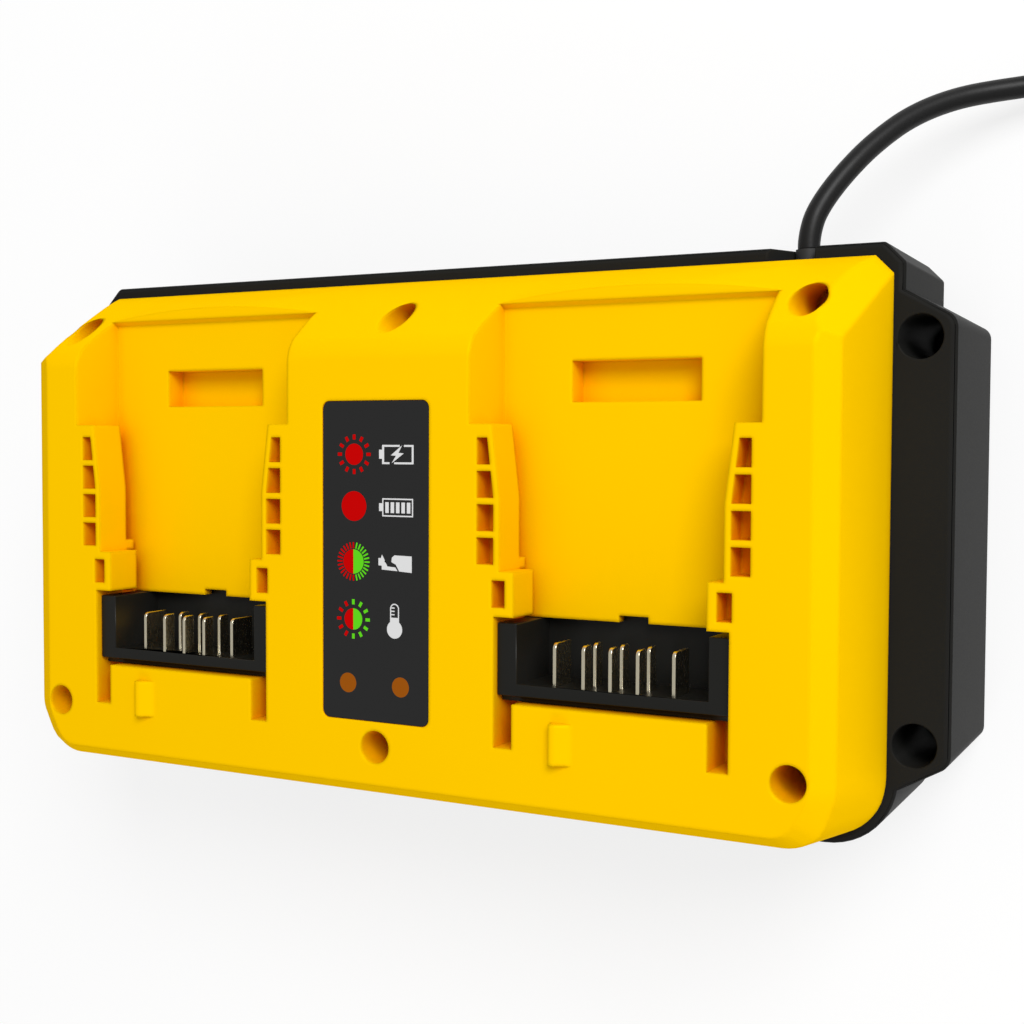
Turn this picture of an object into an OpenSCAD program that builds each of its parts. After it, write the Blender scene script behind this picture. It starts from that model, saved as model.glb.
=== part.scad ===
// Two-bay slide-pack battery charger, lying on its back.
// X runs along the case, +Y is the cord edge and +Z is the face that takes the batteries.

/* [Base housing] */
// Width of the base without its ears
base_w = 205; // [202:1:214]
// Depth of the base from its front edge to the cord edge
base_l = 119; // [117:1:124]
// Height of the base housing above its feet
base_h = 39; // [38:0.5:44]
// Wall thickness of the base housing
base_wall = 3; // [2.6:0.1:3.4]
// Thickness of the base's floor
base_floor = 2.5; // [2:0.1:3.5]
// Radius of the base's edge at the seam
base_bevel = 1.3; // [0.8:0.1:2]
// How far the base's sides lean in towards the back
base_draft = 0.8; // [0:0.1:1]
// 45 degree cut across the two corners at the cord edge
corner_cut = 4; // [3:0.5:6]
// Radius of the base's two front corners
corner_r = 14.5; // [12:0.5:18]

/* [Mounting ears] */
// How far an ear stands out of the base's side
ear_reach = 10; // [9.6:0.1:11]
// Distance between the two holes of one ear
ear_hole_pitch = 79; // [74:1:84]
// Middle of the ears, measured from the middle of the base
ear_mid = 1.4; // [0:0.1:2]
// Distance from a hole's centre to the ear's outer face
ear_hole_inset = 6.8; // [6.2:0.1:7]
// Diameter of the well that takes a wall screw's head
ear_well_d = 8.6; // [8:0.1:8.8]
// Diameter of the wall screw's hole
ear_screw_d = 4.4; // [3.6:0.1:5]
// Thickness left under an ear's well
ear_floor = 6; // [4:0.5:10]
// Radius of the ear's corners
ear_round = 3.5; // [2.5:0.5:4.5]

/* [Cover] */
// Height of the cover above the seam
cover_h = 29; // [28:0.5:32]
// Wall thickness of the cover
cover_wall = 2.4; // [2:0.1:2.8]
// Ledge of the base left showing beside the cover
side_gap = 1.9; // [1:0.1:2.4]
// Ledge of the base left showing behind the cover
back_gap = 2.6; // [2.4:0.1:3]
// Ledge of the base left showing in front of the cover
front_gap = 2.9; // [1:0.1:3]
// How far the cover's sides lean in between the seam and the face
side_lean = 2.8; // [2:0.1:4]
// How far its front leans in
front_lean = 4.3; // [3:0.1:6]
// Chamfer along the face's sides
face_chamfer = 4; // [3:0.5:5]
// Chamfer along its front
front_chamfer = 2.5; // [2:0.5:5]
// Run of the slope between the ridge and the cord edge
slope_run = 16.3; // [15:0.1:18]
// Height of the slope's crown above a flat slope
slope_bulge = 1.7; // [1:0.1:2.4]
// Radius that rounds the ridge above the slope
ridge_r = 8; // [4:0.5:12]
// Radius of the cover's front corners at the seam
cover_corner_r = 12; // [10:0.5:14]
// Depth of the V-groove along the seam
seam_v = 0.5; // [0.2:0.1:0.7]

/* [Cover screws] */
// Distance of the outer screws from the base's sides
screw_side = 12.5; // [12.1:0.1:13]
// Distance of the back row of screws from the cord edge
screw_back = 12.7; // [12.2:0.1:13.6]
// Distance of the front row's outer screws from the front edge
screw_front = 18; // [17:0.2:19]
// How much nearer the front edge the middle screw of that row is
screw_mid_shift = 2.4; // [1:0.2:3]
// Diameter of the wells in the cover
well_d = 7; // [6.6:0.1:7.4]
// Height of the screws' seat above the seam
screw_seat = 3.5; // [3:0.5:8]

/* [Battery bays] */
// Distance between the middles of the two bays
bay_pitch = 107; // [106:0.5:108]
// Width of a bay between its side walls
bay_w = 61.6; // [60.6:0.2:62]
// How far each side wall leans in towards the floor
wall_draft = 1; // [0.4:0.1:1.4]
// Depth of a bay's floor below the face
bay_depth = 13; // [12:0.5:14]
// Distance of the rails' stop from the front edge of the base
stop_inset = 43.8; // [43:0.2:45]
// Distance from the stop to the bosses' back
boss_l = 10.2; // [9:0.1:11]
// Distance of the bosses' front from the stop
boss_set = 1.1; // [0.6:0.1:1.6]
// Gap between the two stop bosses
boss_gap = 41; // [40.6:0.2:42]
// Length of a rail
rail_l = 29.6; // [28:0.2:31]
// Gap between the two rails
rail_gap = 47.5; // [46:0.5:48.5]
// How much each rail is cut back at its mouth
rail_lead = 1.8; // [1:0.1:2.2]
// Height of the groove under a rail
groove_h = 4.2; // [3.5:0.1:5]
// Core pockets in a rail
core_count = 4; // [3:1:5]
// Depth of the core pockets
core_depth = 5.5; // [4:0.25:6]
// Width of the latch pocket in a bay's floor
latch_w = 28; // [24:0.5:30]
// Length of the latch pocket
latch_l = 8.4; // [7:0.1:10]
// Depth of the latch pocket
latch_depth = 5.2; // [3:0.1:6]
// Distance from the rails' mouth to the latch pocket
latch_shift = 4.5; // [4:0.1:6]
// Height of the lip across a bay's mouth
lip_h = 1.6; // [0.8:0.1:2.4]
// Distance of the lip's crest from the cord edge
lip_inset = 8; // [7:0.1:9]

/* [Terminal blocks] */
// Width of the window for a terminal block
window_w = 49.9; // [49:0.1:50.4]
// Length of that window
window_l = 16.3; // [16:0.1:17]
// Length of the slots beside the apron
slot_l = 9.1; // [8:0.1:11]
// Width of those slots
slot_w = 4.2; // [4:0.1:4.4]
// Depth of those slots
slot_depth = 10; // [8:0.5:12]
// Gap between a block and its window
block_gap = 0.15; // [0.1:0.05:0.3]
// Distance of a block's front below the face
block_drop = 1.4; // [1:0.1:2]
// Width of the step along a block's front
block_step = 1.3; // [0.8:0.1:1.6]
// Thickness of a block's cheeks
cheek_w = 4.4; // [3.8:0.1:5]
// Thickness of a block's root wall at its foot
root_wall = 3.8; // [3.4:0.1:4.2]
// Depth of the cavity between the cheeks
cavity_depth = 14.5; // [13:0.5:15]
// Thickness of the contact blades
blade_t = 0.8; // [0.6:0.1:1]
// How far the blades stand out of the root wall
blade_reach = 8.6; // [7.5:0.1:10]
// Distance from the block's face to the power blades
power_drop = 1.7; // [1.2:0.1:3]
// Depth of a power blade
power_depth = 7; // [6:0.1:8]
// Distance from the block's face to the signal blades
signal_drop = 0.4; // [0.3:0.1:1]
// Depth of one tine of a signal blade
tine_depth = 3.1; // [2.6:0.1:3.6]
// Gap between the two tines of a signal blade
tine_gap = 2.2; // [1.8:0.1:2.6]
// Distance between the columns of signal blades
signal_pitch = 5.8; // [5:0.1:6]
// Distance between the two power blades
power_pitch = 25.5; // [25:0.1:28]

/* [Label and indicators] */
// Width of the label
label_w = 26.4; // [22:0.2:28]
// Length of the label
label_l = 67.3; // [66:0.1:69]
// Distance of the label from the front edge of the base
label_inset = 21.1; // [20.6:0.1:21.6]
// Thickness of the label
label_t = 0.4; // [0.3:0.05:0.5]
// Diameter of an indicator lens
lens_d = 4.2; // [3.8:0.1:4.8]
// Distance between the two indicators
lens_pitch = 13.2; // [12:0.1:14]
// Distance of the indicators from the label's front end
lens_inset = 7.7; // [6:0.1:10]

/* [Inside] */
// Gap between the main board and the bosses round it
board_gap = 1.4; // [1:0.1:2]
// Thickness of the main board
board_t = 1.6; // [1.2:0.1:2]
// Height of the board's standoffs
standoff_h = 8; // [6:0.5:9]
// Height of the transformer's core
core_h = 24; // [20:0.5:25]
// Diameter of the mains capacitor
bulk_d = 18; // [14:0.5:18]
// Height of the mains capacitor
bulk_h = 24; // [20:0.5:25]
// Diameter of the output capacitors
output_cap_d = 10; // [8:0.5:10]
// Height of the heat sinks
sink_h = 23; // [20:0.5:25]

/* [Feet] */
// Diameter of a rubber foot
foot_d = 12; // [10:0.5:14]
// Height of the feet below the base
foot_h = 2; // [1:0.25:3]
// Depth of a foot's recess in the base
foot_recess = 0.8; // [0.5:0.1:1.2]

/* [Cord] */
// Diameter of the mains cord
cord_d = 4.5; // [4.2:0.1:4.8]
// Length of the strain relief
relief_l = 22; // [20:1:26]

/* [Hidden] */

tiny = 0.01;
half_w = base_w / 2;
y_front = -base_l / 2;
y_back = base_l / 2;
z_back = foot_h;
z_floor = z_back + base_floor;
z_seam = z_back + base_h;
z_face = z_seam + cover_h;

// The cover's outline at the seam, and the arc of its slope
rim_hw = half_w - side_gap;
rim_front = y_front + front_gap;
rim_back = y_back - back_gap;
face_hw = rim_hw - side_lean - face_chamfer;
face_front = rim_front + front_lean + front_chamfer;
ridge_y = rim_back - slope_run;
z_shoulder = z_face - face_chamfer;
slope_chord = sqrt(slope_run * slope_run + cover_h * cover_h);
slope_r = (slope_chord * slope_chord / 4 + slope_bulge * slope_bulge) / (2 * slope_bulge);
slope_sink = slope_r - slope_bulge;
slope_y = (ridge_y + rim_back) / 2 - slope_sink * cover_h / slope_chord;
slope_z = (z_face + z_seam) / 2 - slope_sink * slope_run / slope_chord;

// Middle of the arc that rounds the ridge. It stands a hair proud of the face and the slope,
// so that it crosses them instead of only touching them.
ridge_lap = 0.02;
ridge_z = z_face - ridge_r + ridge_lap;
ridge_off = sqrt(pow(slope_r - ridge_r + ridge_lap, 2) - pow(ridge_z - slope_z, 2));
ridge_mid = [slope_y + ridge_off, ridge_z];
ridge_turn = atan2(ridge_z - slope_z, ridge_off);

// Bay stations along Y, from the slots at the front to the latch pocket at the back
stop_y = y_front + stop_inset;
boss_y = stop_y + boss_l;
rail_y = boss_y + rail_l;
latch_y = rail_y + latch_shift;
window_y = stop_y - window_l;
slot_y = window_y - slot_l;
bay_z = z_face - bay_depth;
tub_z = bay_z - cover_wall;
core_web = 1.3;
core_end = 2.8;
core_side = 1.9;
boss_core = [1.9, 1.8];
boss_core_w = 3;
shoulder_l = 2.3;
shoulder_h = 2.6;
lip_y = y_back - lip_inset;
lip_run = 2.3;
lip_sag = 2.5;
lip_foot_sag = 1.1;

// Terminal blocks
block_w = window_w - 2 * block_gap;
block_front = window_y + block_gap;
block_back = stop_y - block_gap;
block_z = z_face - block_drop;
cavity_z = block_z - cavity_depth;
step_h = 2;
flange_t = 2;
flange_z = tub_z - flange_t;
flange_side = 6.5;
column_r = 3;
column_x = window_w / 2 + cover_wall + 1.9;
column_y = (window_y + stop_y) / 2;
column_top = z_face - cover_wall;
pilot_r = 1.1;
pilot_l = 8;
root_y = block_front + root_wall;
blade_tip = root_y + blade_reach;
blade_round = 1.2;
tail_w = 1.4;
tail_y = root_y - tail_w - 0.5;
tail_z = flange_z - 4.5;
tab_w = 6.4;
tab_l = 1.2;
key_x = -12;
key_w = 4.6;
key_l = 8.2;
key_h = 1.8;

// Cover screws
screw_x = half_w - screw_side;
screw_rows = [y_back - screw_back, y_front + screw_front];
screw_spots = [for (y = screw_rows, s = [-1, 1]) [s * screw_x, y], [0, screw_rows[0]],
               [0, screw_rows[1] - screw_mid_shift]];
screw_r = 1.5;
screw_head_r = 2.9;
screw_head_h = 2.1;
screw_l = 15;
tube_wall = 1.8;
boss_r = 4.2;

// Ears and feet
ear_x = half_w + ear_reach;
ear_hole_x = ear_x - ear_hole_inset;
ear_shoulder = 11.5;
ear_corner = 1.6;
foot_x = half_w - 15;
foot_y = base_l / 2 - 16;
vent_w = 2.2;
vent_l = 26;
vent_pitch = 5.5;
vent_count = 7;

// The lip that keys the cover to the base
tongue_gap = 0.9;
tongue_t = 1.2;
tongue_h = 2;
ledge_h = 4;

// Label and indicators
label_recess = label_t + 0.1;
label_r = 1.7;
label_front = y_front + label_inset;
label_mid = label_front + label_l / 2;
lens_mid = -0.2;
lens_y = label_front + lens_inset;
lens_x = [for (s = [-1, 1]) lens_mid + s * lens_pitch / 2];
led_d = 3;
led_flange = 0.5;
led_hole = lens_d - 0.6;
led_top = z_face - label_recess - 0.4;
led_l = 5.4;
led_board_t = 1.6;
led_board_z = led_top - led_l - led_board_t;
peg_r = 2.2;
peg_x = lens_pitch / 2 + 4.6;

// Main board, between the front bosses and the cord clamp, and what stands on it
clamp_l = 6;
clamp_y = y_back - relief_l - clamp_l - 2;
board_front = screw_rows[1] - screw_mid_shift + boss_r + board_gap;
board_back = clamp_y - board_gap;
board_w = 2 * (screw_x - boss_r - board_gap);
board_l = board_back - board_front;
board_y = (board_front + board_back) / 2;
board_z = z_floor + standoff_h;
board_top = board_z + board_t;
board_spots = [for (x = [-1, 0, 1], y = [-1, 1])
               [x * (board_w / 2 - 6), board_y + y * (board_l / 2 - 5)]];
standoff_r = 3.2;
board_screw_r = 1.3;
ferrite_w = 1.4 * core_h;
ferrite_t = 0.5 * core_h;
ferrite_leg = 0.4 * core_h;
ferrite_yoke = 0.2 * core_h;
winding_build = 0.23 * core_h;
choke_r = bulk_d * 0.45;
choke_w = 0.4 * bulk_d;
film_cap = [0.4, 1, 0.78] * bulk_d;
bridge_size = [0.22, 0.9, 0.8] * bulk_d;
fuse_l = 1.1 * bulk_d;
fuse_r = 0.14 * bulk_d;
sink_t = 0.1 * sink_h;
fin_l = 0.3 * sink_h;
fin_t = 0.05 * sink_h;
tab_size = 0.44 * sink_h;

// Free cord: points chosen by hand from the wall to the coil, and from the coil to the plug.
// X counts from the base's side, Y from the cord edge and Z from the surface under the feet.
cord_points = [[-21, 0, 34.3], [-21, 1.5, 34.3], [-20.7, 4, 34.1], [-20, 6.9, 33.5], [-18.6, 10.1, 32.3],
               [-16.6, 13.6, 30.6], [-14.2, 17.2, 28.5], [-11.6, 20.7, 26], [-8.7, 24, 23.2],
               [-5.7, 26.9, 20.3], [-2.4, 29.3, 17.3], [1.2, 31.2, 14.4], [5, 32.6, 11.7], [9.5, 33.6, 9.2],
               [15, 34.4, 6.9], [21.5, 35.1, 5.2], [29, 35.8, 4], [37.5, 36.4, 3.2], [46.5, 36.8, 2.8],
               [55.5, 37, 2.7], [65.5, 37, 2.7]];
plug_points = [[101.5, 1, 7.2], [101.5, -6, 7.2], [101.5, -12, 7.2], [101.5, -18, 7.2], [101.5, -25, 7],
               [101.5, -32, 6.7], [101.5, -38, 6.5], [101.5, -44, 6.5]];
coil_at = [65.5, 1];
coil_r = 36;
coil_turns = 5;
coil_levels = 2;
tie_t = 0.45;
tie_w = 9;
groove_gap = 0.03;
plug_boot_l = 15;
plug_l = 27;
plug_w = 23;
plug_h = 13;
pin_l = 17;
pin_w = 6.3;
pin_t = 1.5;
pin_pitch = 12.7;

// Cord: the wall's slot, the relief in it and the clamp behind it
cord_x = half_w + cord_points[0][0];
cord_z = cord_points[0][2];
cord_r = cord_d / 2;
relief_tip = 0.4;
slot_flare = [4.5, 0.6];
wall_y = y_back - base_wall;
plate_t = 2;
plate_w = 14;
plate_gap = 0.15;
relief_r = 4.2;
relief_end_r = 3.2;
notch_l = 6;
clamp_w = 20;
clamp_h = 5;
clamp_screw_x = 6.5;
clamp_screw_r = 1.3;
cord_inner_y = clamp_y - 5;
lead_r = 0.9;
lead_bend = 3;
lead_pitch = 2.4;

function unit(v) = v / norm(v);

// Outline with two cut corners at the back and two round ones at the front
module plan(hw, front, back, cut, r) {
    polygon([[-hw, front + r], [-hw, back - cut], [cut - hw, back], [hw - cut, back],
             [hw, back - cut], [hw, front + r], [hw - r, front], [r - hw, front]]);
    for (s = [-1, 1]) translate([s * (hw - r), front + r]) circle(r, $fn = 48);
}

// The base's outline, and the cover's outline at the seam, both moved in by inset
module base_plan(inset)
    plan(half_w - inset, y_front + inset, y_back - inset, corner_cut - 0.586 * inset,
         max(corner_r - inset, 1));

module rim_plan(inset)
    plan(rim_hw - inset, rim_front + inset, rim_back - inset, corner_cut - 0.6 - 0.586 * inset,
         max(cover_corner_r - inset, 1));

module rounded_box(w, l, h, r) linear_extrude(h) rounded_rect(w, l, r);

module rounded_rect(w, l, r) {
    square([w - 2 * r, l], center = true);
    square([w, l - 2 * r], center = true);
    for (x = [-1, 1], y = [-1, 1]) translate([x * (w / 2 - r), y * (l / 2 - r)]) circle(r, $fn = 32);
}

module at_bays() for (s = [-1, 1]) translate([s * bay_pitch / 2, 0, 0]) children();

module at_bay(s) translate([s * bay_pitch / 2, 0, 0]) children();

// Place on the board, as a share of its length and of its width from its middle
module at_board(u, v) translate([u * board_w, board_y + v * board_l, board_top]) children();

module pan_screw(r, l, head_r, head_h, drive_r) {
    translate([0, 0, -l]) cylinder(r = r, h = l + tiny, $fn = 24);
    difference() {
        intersection() {
            cylinder(r = head_r, h = head_h, $fn = 32);
            translate([0, 0, head_h - 2.2 * head_r]) sphere(2.2 * head_r, $fn = 64);
        }
        for (a = [0, 90]) rotate(a) translate([-drive_r, -0.35, head_h - 1.1]) cube([2 * drive_r, 0.7, 2]);
    }
}

// ---- Base housing ----

// Levels of the base's side as [height, inset]: drafted below, rounded at the seam
base_levels = concat(
    [[z_back, base_draft + base_bevel], [z_back + base_bevel, base_draft]],
    [for (a = [0, 30, 60, 90]) [z_seam - tiny - base_bevel * (1 - sin(a)), base_bevel * (1 - cos(a))]]);

module base_slab(z, inset) translate([0, 0, z]) linear_extrude(tiny) base_plan(inset);

module ear_slab(z, inset, s)
    translate([0, 0, z]) linear_extrude(tiny) {
        for (e = [-1, 1])
            translate([s * (ear_x - ear_round), ear_mid + e * (ear_hole_pitch / 2 + ear_corner)])
                circle(ear_round - inset, $fn = 32);
        translate([s * (half_w - 7), ear_mid])
            square([6, ear_hole_pitch + 2 * ear_shoulder - 2 * inset], center = true);
    }

module base_form() {
    hull() for (l = base_levels) base_slab(l[0], l[1]);
    for (s = [-1, 1]) hull() for (l = base_levels) ear_slab(l[0], l[1], s);
}

module ear_holes()
    for (s = [-1, 1], e = [-1, 1])
        translate([s * ear_hole_x, ear_mid + e * ear_hole_pitch / 2, 0]) {
            translate([0, 0, z_back + ear_floor]) cylinder(d = ear_well_d, h = base_h, $fn = 48);
            translate([0, 0, z_back - 1]) cylinder(d = ear_screw_d, h = base_h, $fn = 32);
        }

// Hollow of each ear between its two wells
module ear_hollows()
    for (s = [-1, 1])
        translate([s * (half_w - base_wall / 2 + ear_reach / 2 - 1.5), ear_mid,
                   z_floor + base_h / 2 - base_wall])
            cube([ear_reach + base_wall - 1, ear_hole_pitch - 2 * ear_well_d - 8, base_h - 2 * base_wall],
                 center = true);

// Slot in the cord edge, flared towards the seam, with room behind it for the relief's plate and body
module cord_slot() {
    slot_r = cord_r + relief_tip;
    translate([cord_x, y_back + 1, 0]) rotate([90, 0, 0]) linear_extrude(base_wall + 1) {
        translate([0, cord_z]) circle(slot_r, $fn = 32);
        polygon([[-slot_r, cord_z], [slot_r, cord_z], [slot_r + slot_flare[1], z_seam + 1],
                 [-slot_r - slot_flare[0], z_seam + 1]]);
    }
    translate([cord_x - plate_w / 2 - plate_gap, wall_y - plate_t - plate_gap,
               cord_z - plate_w / 2 - plate_gap])
        cube([plate_w + 2 * plate_gap, plate_t + plate_gap, base_h]);
    translate([cord_x - relief_r - plate_gap, wall_y - notch_l, cord_z])
        cube([2 * (relief_r + plate_gap), notch_l, base_h]);
}

module base_vents()
    for (s = [-1, 1], i = [0 : vent_count - 1])
        translate([s * bay_pitch / 2 + (i - (vent_count - 1) / 2) * vent_pitch, 0, z_back - 1])
            rounded_box(vent_w, vent_l, base_floor + 2, vent_w / 2 - tiny);

// Length of the straight cord inside the case, from a station along Y
module cord_bore(from, l)
    translate([cord_x, from, cord_z]) rotate([-90, 0, 0]) cylinder(r = cord_r, h = l, $fn = 32);

module at_clamp_screws()
    for (s = [-1, 1]) translate([cord_x + s * clamp_screw_x, clamp_y + clamp_l / 2, cord_z]) children();

module cord_saddle()
    difference() {
        translate([cord_x - clamp_w / 2, clamp_y, z_floor - tiny]) cube([clamp_w, clamp_l, cord_z - z_floor]);
        cord_bore(clamp_y - 1, clamp_l + 2);
        at_clamp_screws() translate([0, 0, -8]) cylinder(r = clamp_screw_r, h = 9, $fn = 24);
    }

module base_housing() color([0.15, 0.15, 0.145]) difference() {
    union() {
        difference() {
            base_form();
            translate([0, 0, z_floor]) linear_extrude(base_h) base_plan(base_wall);
            ear_hollows();
        }
        translate([0, 0, z_seam - ledge_h]) linear_extrude(ledge_h) difference() {
            base_plan(base_wall - tiny);
            rim_plan(cover_wall + tongue_gap + tongue_t);
        }
        translate([0, 0, z_seam - tiny]) linear_extrude(tongue_h) difference() {
            rim_plan(cover_wall + tongue_gap);
            rim_plan(cover_wall + tongue_gap + tongue_t);
        }
        for (p = screw_spots) translate([p[0], p[1], z_floor - tiny])
            cylinder(r = boss_r, h = z_seam - z_floor + tiny, $fn = 32);
        for (p = board_spots) translate([p[0], p[1], z_floor - tiny])
            cylinder(r = standoff_r, h = standoff_h + tiny, $fn = 32);
        cord_saddle();
    }
    for (p = screw_spots) translate([p[0], p[1], z_seam - screw_l])
        cylinder(r = screw_r, h = screw_l + 1, $fn = 24);
    for (p = board_spots) translate([p[0], p[1], board_z - 6]) cylinder(r = board_screw_r, h = 7, $fn = 24);
    for (x = [-1, 1], y = [-1, 1]) translate([x * foot_x, y * foot_y, z_back - 1])
        cylinder(d = foot_d + 0.4, h = foot_recess + 1, $fn = 48);
    ear_holes();
    cord_slot();
    base_vents();
}

module rubber_feet() color([0.1, 0.1, 0.1])
    for (x = [-1, 1], y = [-1, 1]) translate([x * foot_x, y * foot_y, 0])
        rotate_extrude($fn = 48) polygon([[0, 0], [foot_d / 2 - 1, 0], [foot_d / 2 - 0.3, 0.5],
                                          [foot_d / 2, foot_h + foot_recess], [0, foot_h + foot_recess]]);

// ---- Cover ----

// Sum of X and Y on the facet that runs from a rim corner to the end of the ridge
function facet_sum(z) =
    let (rim = rim_hw + rim_back - corner_cut + 0.6)
    rim + (face_hw + ridge_y - rim) * (z - z_seam) / cover_h;

module cover_layer(z, lean, front, r, inset) {
    hw = rim_hw - lean - inset;
    back = rim_back - inset;
    translate([0, 0, z]) linear_extrude(tiny)
        plan(hw, front + inset, back, hw + back - facet_sum(z) + 1.5 * inset, max(r - inset, 1));
}

// What the rounded ridge takes off: a wedge outwards from the arc's middle, less the arc itself
module ridge_cut(inset)
    rotate([90, 0, 90]) linear_extrude(base_w + 40, center = true) difference() {
        translate(ridge_mid) polygon([[0, 0], [0, 2 * ridge_r], [2 * ridge_r, 2 * ridge_r],
                                      2 * ridge_r * [cos(ridge_turn), sin(ridge_turn)]]);
        translate(ridge_mid) circle(ridge_r - inset, $fn = 120);
    }

// Outer form of the cover, moved in by inset and carried below the seam by drop
module cover_form(inset, drop) difference() {
    intersection() {
        hull() {
            cover_layer(z_seam - drop, 0, rim_front, cover_corner_r, inset + seam_v);
            cover_layer(z_seam, 0, rim_front, cover_corner_r, inset + seam_v);
            cover_layer(z_seam + seam_v, 0, rim_front, cover_corner_r, inset);
            cover_layer(z_shoulder - 0.4 * inset, side_lean, rim_front + front_lean,
                        cover_corner_r - 2, inset);
            cover_layer(z_face - inset - tiny, side_lean + face_chamfer, face_front,
                        cover_corner_r - 4, inset);
        }
        translate([0, slope_y, slope_z]) rotate([0, 90, 0])
            cylinder(r = slope_r - inset, h = base_w + 40, center = true, $fn = 240);
    }
    ridge_cut(inset);
}

// Half gap between the rails at a station along Y
function rail_x(y) = rail_gap / 2 + rail_lead * max(0, (y - rail_y + rail_l / 2) / (rail_l / 2));

// Half width between a bay's side walls, which lean in towards the floor
function wall_x(z) = bay_w / 2 - wall_draft * (z_face - z) / bay_depth;

// Space between the side walls, from one station along Y to another and from the floor up to a height
module bay_space(from, to, top)
    translate([0, to, 0]) rotate([90, 0, 0]) linear_extrude(to - from)
        polygon([[-wall_x(bay_z), bay_z], [wall_x(bay_z), bay_z], [wall_x(top), top], [-wall_x(top), top]]);

// Opening in the face between the rails and between the stop bosses
module rail_opening()
    for (s = [0, 1]) mirror([s, 0]) polygon([
        [-tiny, rail_y + tiny], [rail_x(rail_y), rail_y + tiny], [rail_x(boss_y), rail_y - rail_l / 2],
        [rail_x(boss_y), boss_y], [boss_gap / 2, boss_y], [boss_gap / 2, stop_y - tiny],
        [-tiny, stop_y - tiny]]);

module rail_cores() {
    pitch = (rail_l - core_end) / core_count;
    for (s = [0, 1], i = [0 : core_count - 1]) mirror([s, 0, 0]) {
        low = boss_y + core_web + i * pitch;
        high = low + pitch - core_web;
        outer = bay_w / 2 - core_side;
        translate([0, 0, z_face - core_depth]) linear_extrude(core_depth + 1)
            polygon([[rail_x(low) + core_web, low], [outer, low], [outer, high],
                     [rail_x(high) + core_web, high]]);
    }
    for (s = [0, 1]) mirror([s, 0, 0])
        translate([boss_gap / 2 + boss_core[0], stop_y + boss_set + boss_core[1], z_face - core_depth])
            cube([boss_core_w, boss_l - boss_set - 2 * boss_core[1], core_depth + 1]);
}

module latch_pocket(grow)
    translate([-latch_w / 2 - grow, latch_y - grow, bay_z - latch_depth - grow])
        cube([latch_w + 2 * grow, latch_l + 2 * grow, latch_depth + grow + (grow > 0 ? 0 : 1)]);

module slot_box(grow, s)
    translate([s * (window_w / 2 - slot_w / 2), window_y - slot_l / 2 + tiny, z_face - slot_depth - grow])
        translate([-slot_w / 2 - grow, -slot_l / 2 - grow, 0])
            cube([slot_w + 2 * grow, slot_l + 2 * grow, slot_depth + grow + (grow > 0 ? 0 : 1)]);

module bay_walls() {
    translate([-bay_w / 2 - cover_wall, stop_y - cover_wall, tub_z])
        cube([bay_w + 2 * cover_wall, base_l, bay_depth + cover_wall]);
    translate([-window_w / 2 - cover_wall, window_y - cover_wall, tub_z])
        cube([window_w + 2 * cover_wall, window_l + 2 * cover_wall, bay_depth + cover_wall]);
    latch_pocket(cover_wall);
    for (s = [-1, 1]) {
        slot_box(cover_wall, s);
        translate([s * column_x, column_y, tub_z])
            cylinder(r = column_r, h = column_top - tub_z + 1, $fn = 32);
    }
}

module bay_cuts() {
    translate([0, 0, bay_z]) linear_extrude(bay_depth + 1) rail_opening();
    bay_space(rail_y, base_l, z_face + 1);
    // Grooves under the rails and the stop bosses, with a shoulder between them
    bay_space(boss_y + shoulder_l, rail_y + tiny, bay_z + groove_h);
    bay_space(stop_y - tiny, boss_y + tiny, bay_z + groove_h);
    bay_space(boss_y, boss_y + shoulder_l + tiny, bay_z + groove_h - shoulder_h);
    translate([-window_w / 2, window_y, tub_z - 1]) cube([window_w, window_l, bay_depth + cover_wall + 2]);
    translate([-window_w / 2, stop_y - tiny, bay_z]) cube([window_w, boss_set + tiny, bay_depth + 1]);
    translate([-tab_w / 2, stop_y - 1, tub_z - 1]) cube([tab_w, tab_l + 1 + block_gap, bay_depth]);
    rail_cores();
    latch_pocket(0);
    for (s = [-1, 1]) {
        slot_box(0, s);
        translate([s * column_x, column_y, tub_z - 1]) cylinder(r = pilot_r, h = pilot_l + 1, $fn = 24);
    }
}

// Y on the slope at a height
function slope_at(z) = slope_y + sqrt(slope_r * slope_r - pow(z - slope_z, 2));

// Lip across a bay's mouth: it rises from the floor to an arched crest and falls back to the slope
module bay_lip() {
    half = wall_x(bay_z) + 0.6;
    foot_z = z_seam + 2;
    hull() for (i = [-8 : 8]) {
        x = i * half / 8;
        arch = i * i / 64;
        translate([x - tiny, lip_y - lip_sag * arch - tiny, bay_z + lip_h - tiny]) cube(tiny);
        translate([x - tiny, lip_y - lip_run - lip_foot_sag * arch - tiny, bay_z - tiny]) cube(tiny);
        translate([x - tiny, slope_at(foot_z) - 0.3, foot_z]) cube(tiny);
    }
}

// Small key on the apron in front of each terminal block
module apron_key()
    translate([key_x, slot_y + key_l - 1.9, z_face - tiny]) rotate([90, 0, 0]) linear_extrude(key_l)
        polygon([[0, 0], [0.4, key_h], [1.5, key_h], [key_w, 0]]);

module screw_tubes(z, r)
    for (p = screw_spots) translate([p[0], p[1], z]) cylinder(r = r, h = z_face + 1 - z, $fn = 48);

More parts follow.
